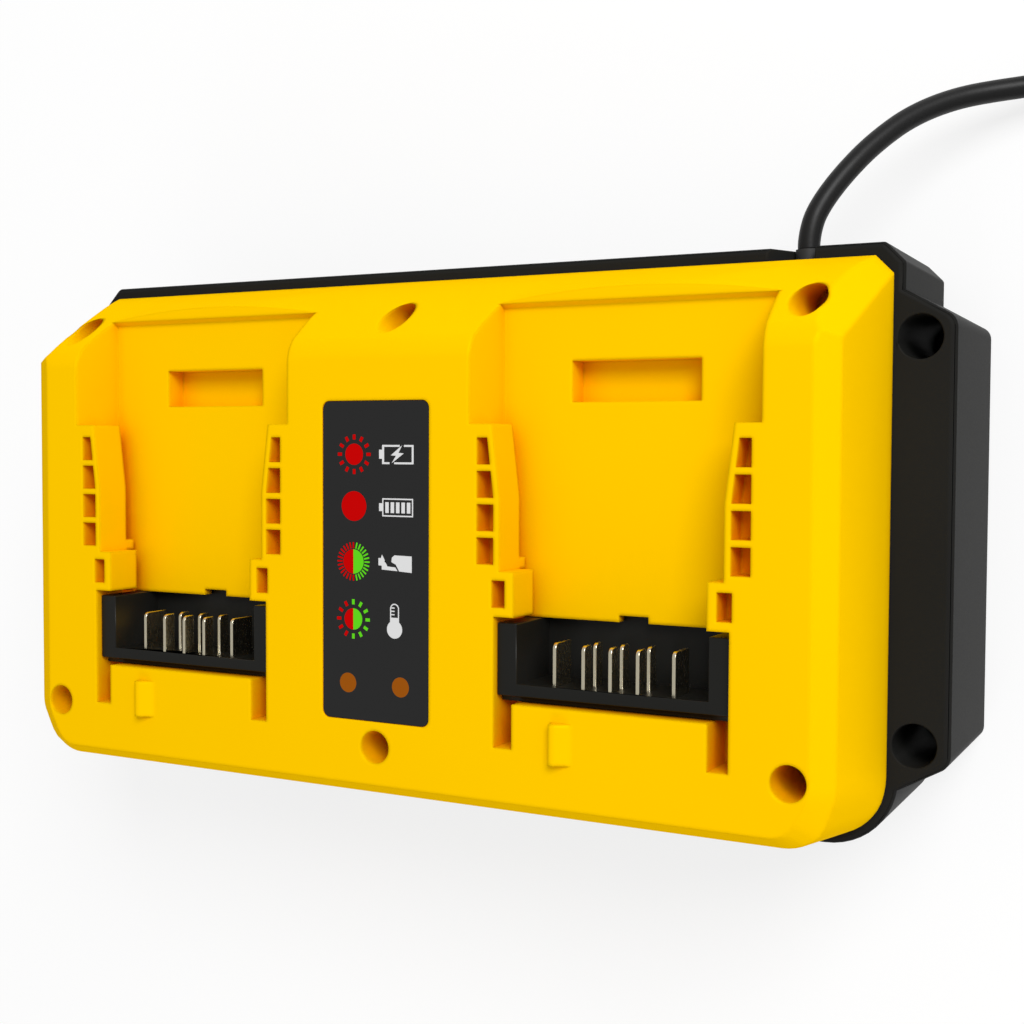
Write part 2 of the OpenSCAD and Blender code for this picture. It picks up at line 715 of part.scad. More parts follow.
module top_cover() color([1, 0.78, 0]) {
    difference() {
        union() {
            difference() {
                cover_form(0, 0);
                cover_form(cover_wall, 1);
            }
            intersection() {
                cover_form(0, 0);
                union() {
                    at_bays() bay_walls();
                    screw_tubes(z_seam, well_d / 2 + tube_wall);
                    for (s = [-1, 1]) translate([lens_mid + s * peg_x, lens_y, led_board_z + led_board_t])
                        cylinder(r = peg_r, h = z_face - led_board_z - cover_wall, $fn = 24);
                }
            }
        }
        at_bays() bay_cuts();
        screw_tubes(z_seam + screw_seat, well_d / 2);
        screw_tubes(z_seam - 1, screw_r + 0.3);
        translate([0, label_mid, z_face - label_recess])
            rounded_box(label_w + 0.3, label_l + 0.3, 1, label_r);
        for (x = lens_x) translate([x, lens_y, z_face - 2 * cover_wall])
            cylinder(d = led_hole, h = 10, $fn = 32);
        for (s = [-1, 1]) translate([lens_mid + s * peg_x, lens_y, led_board_z])
            cylinder(r = 0.8, h = 5, $fn = 24);
    }
    at_bays() apron_key();
    at_bays() bay_lip();
}

module cover_screws() color([0.5, 0.5, 0.52])
    for (p = screw_spots) translate([p[0], p[1], z_seam + screw_seat])
        pan_screw(screw_r, screw_l, screw_head_r, screw_head_h, 1.7);

// ---- Label and indicators ----

module label_overlay() color([0.15, 0.15, 0.15]) difference() {
    translate([0, label_mid, z_face - label_recess]) rounded_box(label_w, label_l, label_t, label_r);
    for (x = lens_x) translate([x, lens_y, 0]) cylinder(d = lens_d, h = z_face + 1, $fn = 32);
}

module indicator_lenses() color([0.6, 0.3, 0])
    for (x = lens_x) translate([x, lens_y, z_face - label_recess])
        cylinder(d = lens_d, h = label_t, $fn = 32);

module led_board() color([0.1, 0.35, 0.2]) difference() {
    translate([lens_mid, lens_y, led_board_z]) rounded_box(2 * peg_x + 7, 11, led_board_t, 1);
    for (s = [-1, 1]) translate([lens_mid + s * peg_x, lens_y, 0]) cylinder(r = 1.1, h = z_face, $fn = 24);
}

module indicator_leds() color([0.9, 0.2, 0.1])
    for (x = lens_x) translate([x, lens_y, led_board_z + led_board_t]) rotate_extrude($fn = 32) {
        square([led_d / 2 + led_flange, 1]);
        square([led_d / 2, led_l - led_d / 2]);
        intersection() {
            translate([0, led_l - led_d / 2]) circle(led_d / 2, $fn = 32);
            square([led_d, led_l + 1]);
        }
    }

module led_board_screws() color([0.7, 0.7, 0.72])
    for (s = [-1, 1]) translate([lens_mid + s * peg_x, lens_y, led_board_z]) mirror([0, 0, 1])
        pan_screw(0.8, 5, 1.8, 1.3, 1.1);

// ---- Terminal blocks ----

module power_blade_spots() for (s = [-1, 1]) translate([s * power_pitch / 2, 0, 0]) children();

module signal_blade_spots() for (i = [-1 : 1]) translate([i * signal_pitch, 0, 0]) children();

// Flat contact in the YZ plane, rounded at its front tip, with a tail through the root wall
module blade(top, depth)
    translate([-blade_t / 2, 0, 0]) rotate([90, 0, 90]) linear_extrude(blade_t) {
        translate([tail_y, top - depth]) square([blade_tip - tail_y, depth - blade_round]);
        translate([tail_y, top - depth]) square([blade_tip - blade_round - tail_y, depth]);
        translate([blade_tip - blade_round, top - blade_round]) circle(blade_round, $fn = 32);
        translate([tail_y, tail_z]) square([tail_w, top - depth - tail_z + tiny]);
    }

module power_blade() blade(block_z - power_drop, power_depth);

// Forked contact: a front and a back tine on one tail
module signal_blade_pair()
    for (i = [0, 1]) blade(block_z - signal_drop - i * (tine_depth + tine_gap), tine_depth);

module terminal_block() difference() {
    union() {
        translate([-block_w / 2, block_front, flange_z])
            cube([block_w, block_back - block_front, block_z - flange_z]);
        translate([-block_w / 2 - flange_side, block_front - 2, flange_z])
            cube([block_w + 2 * flange_side, block_back - block_front + 4, flange_t]);
        translate([-tab_w / 2 + block_gap, block_back - 1, flange_z])
            cube([tab_w - 2 * block_gap, tab_l + 1, bay_z - flange_z]);
    }
    // Cavity between the cheeks, open towards the pack
    translate([-block_w / 2 + cheek_w, root_y, cavity_z])
        cube([block_w - 2 * cheek_w, window_l, cavity_depth + 1]);
    translate([-block_w / 2 - 1, block_front - 1, block_z - step_h])
        cube([block_w + 2, block_step + 1, step_h + 1]);
    for (s = [-1, 1]) translate([s * column_x, column_y, flange_z - 1])
        cylinder(r = pilot_r + 0.2, h = 4, $fn = 24);
    power_blade_spots() power_blade();
    signal_blade_spots() signal_blade_pair();
}

module terminal_block_left() color([0.14, 0.14, 0.14]) at_bay(-1) terminal_block();
module terminal_block_right() color([0.14, 0.14, 0.14]) at_bay(1) terminal_block();
module power_blades_left() color([0.8, 0.78, 0.72]) at_bay(-1) power_blade_spots() power_blade();
module power_blades_right() color([0.8, 0.78, 0.72]) at_bay(1) power_blade_spots() power_blade();
module signal_blades_left() color([0.8, 0.78, 0.72]) at_bay(-1) signal_blade_spots() signal_blade_pair();
module signal_blades_right() color([0.8, 0.78, 0.72]) at_bay(1) signal_blade_spots() signal_blade_pair();

module terminal_screws() color([0.7, 0.7, 0.72])
    at_bays() for (s = [-1, 1]) translate([s * column_x, column_y, flange_z]) mirror([0, 0, 1])
        pan_screw(pilot_r, 7, 2.3, 1.6, 1.3);

// ---- Main board ----

module main_board() color([0.1, 0.4, 0.22]) difference() {
    translate([0, board_y, board_z]) rounded_box(board_w, board_l, board_t, 2);
    for (p = board_spots) translate([p[0], p[1], 0]) cylinder(r = board_screw_r + 0.2, h = z_face, $fn = 24);
}

module board_screws() color([0.7, 0.7, 0.72])
    for (p = board_spots) translate([p[0], p[1], board_top]) pan_screw(board_screw_r, 6, 2.6, 1.8, 1.5);

// Two E-shaped ferrite halves round the winding
module transformer_core() color([0.25, 0.25, 0.27]) at_board(0, -0.03)
    translate([0, 0, 2]) difference() {
        translate([-ferrite_w / 2, -ferrite_t / 2, 0]) cube([ferrite_w, ferrite_t, core_h]);
        for (s = [-1, 1]) translate([s * (ferrite_w + ferrite_leg - 2 * ferrite_yoke) / 4, 0, core_h / 2])
            cube([(ferrite_w - ferrite_leg) / 2 - ferrite_yoke, ferrite_t + 1, core_h - 2 * ferrite_yoke],
                 center = true);
    }

module transformer_winding() color([0.85, 0.65, 0.2]) at_board(0, -0.03) {
    inside = core_h - 2 * ferrite_yoke;
    translate([0, 0, 2 + ferrite_yoke]) linear_extrude(inside) difference() {
        rounded_rect(ferrite_leg + 2 * winding_build, ferrite_t + 2 * winding_build, 2.5);
        square([ferrite_leg, ferrite_t], center = true);
    }
    for (s = [-1, 1]) translate([-ferrite_w / 2 + 4, s * (ferrite_t / 2 + 3) - 1.5, 0])
        cube([ferrite_w - 8, 3, 2 + ferrite_yoke + tiny]);
}

// Ring core with two separate windings
module filter_choke() color([0.75, 0.45, 0.2]) at_board(0.34, 0.15) translate([0, 0, 0.68 * choke_r]) {
    rotate_extrude($fn = 48) translate([choke_r, 0]) square([0.6 * choke_w, choke_w], center = true);
    for (a = [30, 210]) rotate([0, 0, a]) rotate_extrude(angle = 120, $fn = 48)
        translate([choke_r, 0]) rounded_rect(choke_w, 1.35 * choke_w, 0.2 * choke_w);
    for (s = [-1, 1]) translate([0, s * choke_r, -0.68 * choke_r]) cylinder(r = 1, h = 2.2, $fn = 24);
}

module can(d, h) rotate_extrude($fn = 48)
    polygon([[0, 0], [d / 2, 0], [d / 2, 1], [d / 2 - 0.4, 1.6], [d / 2, 2.2], [d / 2, h - 0.6],
             [d / 2 - 0.6, h], [d / 2 - 1.4, h], [d / 2 - 1.8, h - 0.4], [0, h - 0.4]]);

module bulk_capacitor() color([0.12, 0.14, 0.3]) at_board(0.17, -0.21) can(bulk_d, bulk_h);

module filter_capacitor() color([0.85, 0.75, 0.2]) at_board(0.44, 0.09)
    rounded_box(film_cap[0], film_cap[1], film_cap[2], 0.8);

// Flat package with one bevelled corner
module bridge_rectifier() color([0.15, 0.15, 0.16]) at_board(0.24, -0.12) difference() {
    translate([-bridge_size[0] / 2, -bridge_size[1] / 2, 2]) cube(bridge_size);
    translate([-bridge_size[0], -bridge_size[1] / 2, bridge_size[2] - 2]) rotate([45, 0, 0])
        translate([0, -3, 0]) cube([2 * bridge_size[0], 3, 8]);
}

module mains_fuse() color([0.8, 0.8, 0.75]) at_board(0.37, 0.41) {
    translate([-fuse_l / 2, 0, 4]) rotate([0, 90, 0]) cylinder(r = fuse_r, h = fuse_l, $fn = 32);
    for (s = [-1, 1]) translate([s * (fuse_l / 2 - 2) - 1.5, -fuse_r - 0.7, 0]) difference() {
        cube([3, 2 * fuse_r + 1.4, 5]);
        translate([-1, fuse_r + 0.7, 4]) rotate([0, 90, 0]) cylinder(r = fuse_r, h = 5, $fn = 32);
    }
}

// Extruded heat sink with fins on one side
module heat_sink(w, fins) linear_extrude(sink_h) {
    translate([-w / 2, 0]) square([w, sink_t]);
    for (i = [0 : fins - 1])
        translate([-w / 2 + i * (w - fin_t) / (fins - 1), sink_t - tiny]) square([fin_t, fin_l]);
}

module primary_heatsink() color([0.65, 0.66, 0.68]) at_board(0.17, 0.27) heat_sink(1.2 * sink_h, 6);
module output_heatsink() color([0.65, 0.66, 0.68]) at_board(-0.27, 0.27) heat_sink(2.4 * sink_h, 11);

// Transistor on the primary sink and two rectifiers on the output sink
module power_transistors() color([0.14, 0.14, 0.15])
    for (x = [0.17, -0.35, -0.19]) at_board(x, 0.27) {
        translate([-tab_size / 2, -0.45 * tab_size, 0.4 * tab_size])
            cube([tab_size, 0.45 * tab_size, 0.9 * tab_size]);
        translate([-tab_size / 2, -0.13 * tab_size, 1.3 * tab_size - tiny])
            cube([tab_size, 0.13 * tab_size, 0.6 * tab_size]);
        for (i = [-1 : 1]) translate([(i * 0.25 - 0.04) * tab_size, -0.26 * tab_size, 0])
            cube([0.08 * tab_size, 0.06 * tab_size, 0.4 * tab_size + tiny]);
    }

module output_capacitors() color([0.12, 0.3, 0.25])
    for (i = [0 : 3]) at_board(-0.155 - i * 0.077, -0.09) can(output_cap_d, 2 * output_cap_d);

// ---- Wiring ----

module board_wire(r, top) translate([0, 0, board_top]) cylinder(r = r, h = top - board_top, $fn = 24);

module terminal_leads(s) at_bay(s) translate([0, tail_y + tail_w / 2, 0]) {
    power_blade_spots() board_wire(1.1, tail_z);
    signal_blade_spots() board_wire(0.6, tail_z);
}

module terminal_leads_left() color([0.7, 0.1, 0.1]) terminal_leads(-1);
module terminal_leads_right() color([0.7, 0.1, 0.1]) terminal_leads(1);

// Five wires side by side from the indicator board to the main board
module indicator_lead() color([0.75, 0.75, 0.72])
    for (i = [-2 : 2]) translate([lens_mid + i * 1.25, lens_y + 2.5, 0]) board_wire(0.6, led_board_z);

// The two cores: out of the cord's end, round a bend and down to the main board
module mains_leads() color([0.35, 0.2, 0.1])
    for (s = [-1, 1]) translate([cord_x + s * lead_pitch / 2, cord_inner_y - 3, cord_z]) rotate([0, 0, 180]) {
        rotate([90, 0, 0]) cylinder(r = lead_r, h = 3, $fn = 24);
        translate([0, 0, -lead_bend]) rotate([0, -90, 0])
            rotate_extrude(angle = 90, $fn = 48) translate([lead_bend, 0]) circle(lead_r, $fn = 24);
        translate([0, lead_bend, board_top - cord_z])
            cylinder(r = lead_r, h = cord_z - lead_bend - board_top, $fn = 24);
    }

module inner_cord() color([0.12, 0.12, 0.12]) cord_bore(cord_inner_y, y_back - cord_inner_y);

module cord_clamp() color([0.2, 0.2, 0.2]) difference() {
    translate([cord_x - clamp_w / 2, clamp_y, cord_z]) cube([clamp_w, clamp_l, clamp_h]);
    cord_bore(clamp_y - 1, clamp_l + 2);
    at_clamp_screws() translate([0, 0, -1]) cylinder(r = clamp_screw_r + 0.3, h = clamp_h + 2, $fn = 24);
}

module clamp_screws() color([0.7, 0.7, 0.72])
    at_clamp_screws() translate([0, 0, clamp_h]) pan_screw(clamp_screw_r, 12, 2.6, 1.8, 1.5);

// Rubber relief: its tip fills the wall's slot, its plate stops behind the wall, its tail tapers inwards
module strain_relief() color([0.1, 0.1, 0.1]) difference() {
    union() {
        translate([cord_x, y_back, cord_z]) rotate([90, 0, 0]) rotate_extrude($fn = 32)
            polygon([[0, 0], [cord_r + relief_tip, 0], [cord_r + relief_tip, base_wall],
                     [relief_r, base_wall], [relief_r, base_wall + plate_t + 2],
                     [relief_end_r, relief_l], [0, relief_l]]);
        translate([cord_x, wall_y, 0]) rotate([90, 0, 0]) linear_extrude(plate_t)
            translate([0, cord_z + (z_seam - 0.2 - cord_z - plate_w / 2) / 2])
                rounded_rect(plate_w, plate_w / 2 + z_seam - 0.2 - cord_z, 2);
    }
    cord_bore(y_back - relief_l - 1, relief_l + 2);
}

// ---- Free cord, coil and plug ----

// Round tube swept along points, with its rings square to the path
module tube(points, r, sides) {
    last = len(points) - 1;
    rings = [for (i = [0 : last])
        let (ahead = unit(points[min(i + 1, last)] - points[max(i - 1, 0)]),
             side = unit(cross(ahead, [0, 0, 1])), up = cross(side, ahead))
        for (k = [0 : sides - 1]) points[i] + r * (cos(360 * k / sides) * side + sin(360 * k / sides) * up)];
    polyhedron(rings, concat(
        [[for (k = [0 : sides - 1]) k]],
        [for (i = [0 : last - 1], k = [0 : sides - 1])
            [i * sides + k, (i + 1) * sides + k,
             (i + 1) * sides + (k + 1) % sides, i * sides + (k + 1) % sides]],
        [[for (k = [sides - 1 : -1 : 0]) last * sides + k]]));
}

module at_cord_edge() translate([half_w, y_back, 0]) children();

module mains_cord() color([0.12, 0.12, 0.12]) at_cord_edge() tube(cord_points, cord_r, 8);
module plug_lead() color([0.12, 0.12, 0.12]) at_cord_edge() tube(plug_points, cord_r, 8);

// Middle of the coil's wound section, measured from its axis
module at_winding() translate([coil_r - (coil_turns - 1) * cord_r, tie_t + coil_levels * cord_r]) children();

// Outer shape of the coil, with a groove where each end of the cord joins it
module cord_coil() color([0.12, 0.12, 0.12]) at_cord_edge() difference() {
    translate(coil_at) rotate_extrude($fn = 96) at_winding()
        rounded_rect(coil_turns * cord_d, coil_levels * cord_d, cord_r - tiny);
    translate([0, cord_points[len(cord_points) - 1][1], cord_points[len(cord_points) - 1][2]])
        rotate([0, 90, 0]) cylinder(r = cord_r + groove_gap, h = coil_at[0], $fn = 32);
    translate(plug_points[0]) rotate([90, 0, 0]) cylinder(r = cord_r + groove_gap, h = coil_r, $fn = 32);
}

module coil_tie() color([0.08, 0.08, 0.08]) at_cord_edge()
    translate([coil_at[0] + tie_w / 2, coil_at[1], 0]) rotate([90, 0, -90]) linear_extrude(tie_w)
        at_winding() difference() {
            rounded_rect(coil_turns * cord_d + 2 * tie_t, coil_levels * cord_d + 2 * tie_t,
                         cord_r + tie_t - tiny);
            rounded_rect(coil_turns * cord_d, coil_levels * cord_d, cord_r - tiny);
        }

module at_plug() at_cord_edge() translate(plug_points[len(plug_points) - 1]) children();

module plug_body() color([0.11, 0.11, 0.11]) at_plug() rotate([90, 0, 0]) {
    rotate_extrude($fn = 32) difference() {
        polygon([[0, 0], [cord_r + 0.8, 0], [cord_r + 2.4, plug_boot_l + 1], [0, plug_boot_l + 1]]);
        for (i = [1 : 4]) translate([cord_r + 1.2, i * 2.8]) square([3, 0.9]);
    }
    hull() {
        translate([0, 0, plug_boot_l]) linear_extrude(1) rounded_rect(plug_w * 0.6, plug_h * 0.8, 3);
        translate([0, 0, plug_boot_l + 8]) linear_extrude(plug_l - 9) rounded_rect(plug_w, plug_h, 3.5);
        translate([0, 0, plug_boot_l + plug_l - 1]) linear_extrude(1)
            rounded_rect(plug_w - 1.6, plug_h - 1.6, 2.8);
    }
}

module plug_blades() color([0.8, 0.78, 0.72])
    for (s = [-1, 1]) at_plug()
        translate([s * pin_pitch / 2 - pin_t / 2, -plug_boot_l - plug_l - pin_l, -pin_w / 2]) difference() {
            cube([pin_t, pin_l, pin_w]);
            translate([-1, 4, pin_w / 2]) rotate([0, 90, 0]) cylinder(r = 1.5, h = 5, $fn = 24);
        }

base_housing();
top_cover();
rubber_feet();
cover_screws();
label_overlay();
indicator_lenses();
led_board();
indicator_leds();
led_board_screws();
terminal_block_left();
terminal_block_right();
power_blades_left();
power_blades_right();
signal_blades_left();
signal_blades_right();
terminal_screws();
main_board();
board_screws();
transformer_core();
transformer_winding();
filter_choke();
bulk_capacitor();
filter_capacitor();
bridge_rectifier();
mains_fuse();
primary_heatsink();
output_heatsink();
power_transistors();
output_capacitors();
terminal_leads_left();
terminal_leads_right();
indicator_lead();
mains_leads();
inner_cord();
cord_clamp();
clamp_screws();
strain_relief();
mains_cord();
cord_coil();
coil_tie();
plug_lead();
plug_body();
plug_blades();
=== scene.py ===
"""Finishes, printed label, supply cord and soft moulded edges of a two-bay battery charger."""

import math

import bmesh
import bpy
import numpy as np
from mathutils import Matrix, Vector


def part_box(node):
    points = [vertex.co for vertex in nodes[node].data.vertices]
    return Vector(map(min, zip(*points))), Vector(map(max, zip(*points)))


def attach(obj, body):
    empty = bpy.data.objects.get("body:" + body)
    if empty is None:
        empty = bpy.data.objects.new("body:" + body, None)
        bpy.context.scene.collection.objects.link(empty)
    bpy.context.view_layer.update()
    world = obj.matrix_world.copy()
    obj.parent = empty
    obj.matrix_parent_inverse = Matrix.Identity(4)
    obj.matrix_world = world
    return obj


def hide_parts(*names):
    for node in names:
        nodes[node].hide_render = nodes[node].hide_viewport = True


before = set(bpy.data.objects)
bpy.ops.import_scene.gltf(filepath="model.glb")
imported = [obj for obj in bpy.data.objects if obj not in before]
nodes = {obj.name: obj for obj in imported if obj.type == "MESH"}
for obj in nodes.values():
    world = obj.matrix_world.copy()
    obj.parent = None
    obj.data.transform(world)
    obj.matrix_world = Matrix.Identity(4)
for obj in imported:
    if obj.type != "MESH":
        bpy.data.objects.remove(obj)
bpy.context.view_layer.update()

# ---- Studio -------------------------------------------------------------------------------
# A pale bench top in an even white surround. One large lamp stands high over the cord end, and
# a weak one fills the long front side. The camera looks down on the case from its cord end.

MM = 0.001
CAMERA_PLACE = (173.41 * MM, 19.53 * MM, 328.00 * MM)
CAMERA_RIGHT = (0.87788, 0.00429, -0.47886)
CAMERA_UP = (-0.02493, 0.99901, -0.03674)
CAMERA_BACK = (0.47823, 0.04419, 0.87712)
LENS = 52.088
SENSOR = 36.0
BENCH_HALF = 3.0
BENCH_GLOW = 0.75
SURROUND = 0.55
SURROUND_SEEN = 0.87


def aimed(right, up, back, place):
    """World matrix of an object whose own X, Y and Z point along right, up and back."""
    matrix = np.identity(4)
    matrix[:3, 0], matrix[:3, 1], matrix[:3, 2], matrix[:3, 3] = right, up, back, place
    return Matrix(matrix.tolist())


def make_camera():
    data = bpy.data.cameras.new("camera")
    data.lens, data.sensor_width, data.clip_start = LENS, SENSOR, 0.01
    camera = bpy.data.objects.new("camera", data)
    camera.matrix_world = aimed(CAMERA_RIGHT, CAMERA_UP, CAMERA_BACK, CAMERA_PLACE)
    bpy.context.scene.collection.objects.link(camera)
    bpy.context.scene.camera = camera


def lamp(name, place, aim, size, power):
    """Square area lamp at place, facing aim, in metres and watts."""
    data = bpy.data.lights.new(name, "AREA")
    data.shape, data.size, data.energy = "SQUARE", size, power
    back = np.subtract(place, aim)
    back = back / np.linalg.norm(back)
    right = np.cross((0.0, 1.0, 0.02), back)
    right = right / np.linalg.norm(right)
    lit = bpy.data.objects.new(name, data)
    lit.matrix_world = aimed(right, np.cross(back, right), back, place)
    bpy.context.scene.collection.objects.link(lit)


class Socket:
    """One output of a shader node. Arithmetic on it adds the Math node that does it."""

    def __init__(self, finish, output):
        self.finish, self.output = finish, output

    def math(self, operation, *values, clamp=False):
        inputs = {0: self, **{i + 1: v for i, v in enumerate(values)}}
        settings = {"operation": operation, "use_clamp": clamp}
        return self.finish.node("ShaderNodeMath", settings, inputs)

    def __add__(self, other):
        return self.math("ADD", other)

    def __sub__(self, other):
        return self.math("SUBTRACT", other)

    def __mul__(self, other):
        return self.math("MULTIPLY", other)

    def __truediv__(self, other):
        return self.math("DIVIDE", other)

    def __rsub__(self, other):
        return self.finish.node("ShaderNodeMath", {"operation": "SUBTRACT"}, {0: other, 1: self})

    __radd__ = __add__
    __rmul__ = __mul__

    def ramp(self, low, high):
        """0 below low, 1 above high and a straight line between them."""
        return ((self - low) / (high - low)).math("ADD", 0.0, clamp=True)


class Finish:
    """A material whose surface is one Principled shader, built node by node."""

    def __init__(self, name, **surface):
        self.material = bpy.data.materials.new(name)
        self.material.use_nodes = True
        self.tree = self.material.node_tree
        self.tree.nodes.clear()
        inputs = {k.replace("_", " "): v for k, v in surface.items()}
        self.shader = self.node("ShaderNodeBsdfPrincipled", {}, inputs)
        self.end = self.tree.nodes.new("ShaderNodeOutputMaterial")
        self.tree.links.new(self.shader.output, self.end.inputs["Surface"])

    def node(self, kind, settings, inputs, out=0):
        """Adds a node: its settings first, then the value or link of each of its inputs."""
        made = self.tree.nodes.new(kind)
        for key, value in settings.items():
            setattr(made, key, value)
        for key, value in inputs.items():
            if isinstance(value, Socket):
                self.tree.links.new(value.output, made.inputs[key])
            else:
                made.inputs[key].default_value = value
        return Socket(self, made.outputs[out])

    def surface(self, **inputs):
        """Links or sets inputs of the Principled shader."""
        for key, value in inputs.items():
            socket = self.shader.output.node.inputs[key.replace("_", " ")]
            if isinstance(value, Socket):
                self.tree.links.new(value.output, socket)
            else:
                socket.default_value = value

    def place(self):
        """The point on the object, in metres."""
        return self.node("ShaderNodeTexCoord", {}, {}, "Object")

    def noise(self, size, detail=3.0, stretch=(1.0, 1.0, 1.0)):
        """Even noise from 0 to 1 whose cells are about size metres across, drawn out by stretch."""
        spot = self.node("ShaderNodeMapping", {}, {"Vector": self.place(), "Scale": stretch})
        return self.node("ShaderNodeTexNoise", {}, {
            "Vector": spot, "Scale": 1.0 / size, "Detail": detail, "Roughness": 0.5})

    def mix(self, factor, first, second):
        """Colour between first, where factor is 0, and second, where it is 1."""
        return self.node("ShaderNodeMix", {"data_type": "RGBA"}, {0: factor, 6: first, 7: second}, 2)

    def bump(self, height, depth, radius=0.0):
        """Normal of a surface that rises by height times depth metres, its corners eased to radius."""
        inputs = {"Height": height, "Distance": depth, "Strength": 1.0}
        if radius:
            inputs["Normal"] = self.node("ShaderNodeBevel", {"samples": 6}, {"Radius": radius})
        self.surface(Normal=self.node("ShaderNodeBump", {}, inputs))


def rgb(red, green, blue):
    return (red, green, blue, 1.0)


def bench_finish():
    """Matt white bench. The camera and the gloss of the pieces see it as white with a faint shadow."""
    finish = Finish("bench_white", Base_Color=rgb(0.9, 0.9, 0.9), Roughness=0.9)
    glow = finish.node("ShaderNodeEmission", {}, {"Color": rgb(1.0, 1.0, 1.0), "Strength": 1.0})
    seen = finish.node("ShaderNodeLightPath", {}, {}, "Is Camera Ray")
    mirrored = finish.node("ShaderNodeLightPath", {}, {}, "Is Glossy Ray")
    whiten = BENCH_GLOW * seen.math("MAXIMUM", mirrored)
    both = finish.node("ShaderNodeMixShader", {}, {0: whiten, 1: finish.shader, 2: glow})
    finish.tree.links.new(both.output, finish.end.inputs["Surface"])
    return finish.material


def make_bench():
    """Flat square bench top under the case, whose faces look up."""
    half = BENCH_HALF
    corner_points = [(-half, -half, 0), (half, -half, 0), (half, half, 0), (-half, half, 0)]
    mesh = bpy.data.meshes.new("bench")
    mesh.from_pydata(corner_points, [], [(0, 1, 2, 3)])
    mesh.materials.append(bench_finish())
    bench = bpy.data.objects.new("bench", mesh)
    bpy.context.scene.collection.objects.link(bench)


def light_world():
    """Even white surround, which the camera sees as pale as the far end of the bench."""
    world = bpy.data.worlds.new("surround")
    world.use_nodes = True
    tree = world.node_tree
    soft = tree.nodes["Background"]
    bright = tree.nodes.new("ShaderNodeBackground")
    for background, strength in ((soft, SURROUND), (bright, SURROUND_SEEN)):
        background.inputs["Color"].default_value = rgb(1.0, 1.0, 1.0)
        background.inputs["Strength"].default_value = strength
    both = tree.nodes.new("ShaderNodeMixShader")
    tree.links.new(tree.nodes.new("ShaderNodeLightPath").outputs["Is Camera Ray"], both.inputs[0])
    tree.links.new(soft.outputs[0], both.inputs[1])
    tree.links.new(bright.outputs[0], both.inputs[2])
    tree.links.new(both.outputs[0], tree.nodes["World Output"].inputs["Surface"])
    bpy.context.scene.world = world


bpy.context.scene.view_settings.view_transform = "Standard"
make_camera()
make_bench()
light_world()
lamp("key_lamp", (0.64, 0.64, 0.92), (0, 0, 0.05), 0.6, 12.6)
lamp("front_lamp", (0.0, -0.95, 0.6), (0, 0, 0.03), 0.6, 2.0)

# ---- Supply cord --------------------------------------------------------------------------
# A round two-core lead in matt black PVC. It leaves the case straight, drops to the bench and
# lies in a neat tied coil beside it, with the plug at its end.

CORD = 4.5 * MM
CORD_START = (102.5 * MM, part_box("inner_cord")[1].y, 0)
LEAD_OUT = [(-21, 0, 34.3), (-21, 1.5, 34.3), (-20.7, 4, 34.1), (-20, 6.9, 33.5),
            (-18.6, 10.1, 32.3), (-16.6, 13.6, 30.6), (-14.2, 17.2, 28.5), (-11.6, 20.7, 26),
            (-8.7, 24, 23.2), (-5.7, 26.9, 20.3), (-2.4, 29.3, 17.3), (1.2, 31.2, 14.4),
            (5, 32.6, 11.7), (9.5, 33.6, 9.2), (15, 34.4, 6.9), (21.5, 35.1, 5.2), (29, 35.8, 4),
            (37.5, 36.4, 3.2), (46.5, 36.8, 2.8), (55.5, 37, 2.7), (65.5, 37, 2.7)]
PLUG_LEAD = [(101.5, 1, 7.2), (101.5, -6, 7.2), (101.5, -12, 7.2), (101.5, -18, 7.2),
             (101.5, -25, 7), (101.5, -32, 6.7), (101.5, -38, 6.5), (101.5, -44, 6.5)]
COIL_AT = (65.5, 1)
COIL_OUTER = 36.0
COIL_LOW = 2.7
TURN_GAP = 4.5
COIL_TURNS = 8.25
TURN_STEPS = 40


def smooth_line(points, steps):
    """Catmull-Rom curve: each span is a cubic through its ends, with slopes from the neighbours."""
    points = np.array(points, float)
    ends = np.vstack([2 * points[0] - points[1], points, 2 * points[-1] - points[-2]])
    t = np.linspace(0, 1, steps, endpoint=False)[None, :, None]
    a, b, c, d = (ends[i:len(ends) - 3 + i, None, :] for i in range(4))
    spans = 0.5 * (2 * b + (c - a) * t + (2 * a - 5 * b + 4 * c - d) * t ** 2 +
                   (3 * b - a - 3 * c + d) * t ** 3)
    return np.vstack([spans.reshape(-1, 3), points[-1:]])


def coil_line():
    """Turns wound clockwise: inwards on the bench, up at the inner turn, and outwards on top.
    Each turn keeps its radius for half a turn and moves to the next one over the other half."""
    turn = np.linspace(0, COIL_TURNS, int(COIL_TURNS * TURN_STEPS) + 1)
    ease = lambda x: (1 - np.cos(math.pi * np.clip(x, 0, 1))) / 2
    inward = sum(ease(2 * (turn - k - 0.5)) for k in range(4))
    outward = sum(ease(2 * (turn - k - 4.5)) for k in range(4))
    radius = COIL_OUTER - TURN_GAP * inward + TURN_GAP * outward
    height = COIL_LOW + TURN_GAP * ease(2 * (turn - 4))
    angle = math.pi / 2 - 2 * math.pi * turn
    x, y = COIL_AT[0] + radius * np.cos(angle), COIL_AT[1] + radius * np.sin(angle)
    return np.stack([x, y, height], axis=1)


def cord_line():
    """The whole centreline, in metres in the row frame."""
    line = np.vstack([smooth_line(LEAD_OUT, 4)[:-1], coil_line()[:-1], smooth_line(PLUG_LEAD, 3)])
    return line * MM + CORD_START


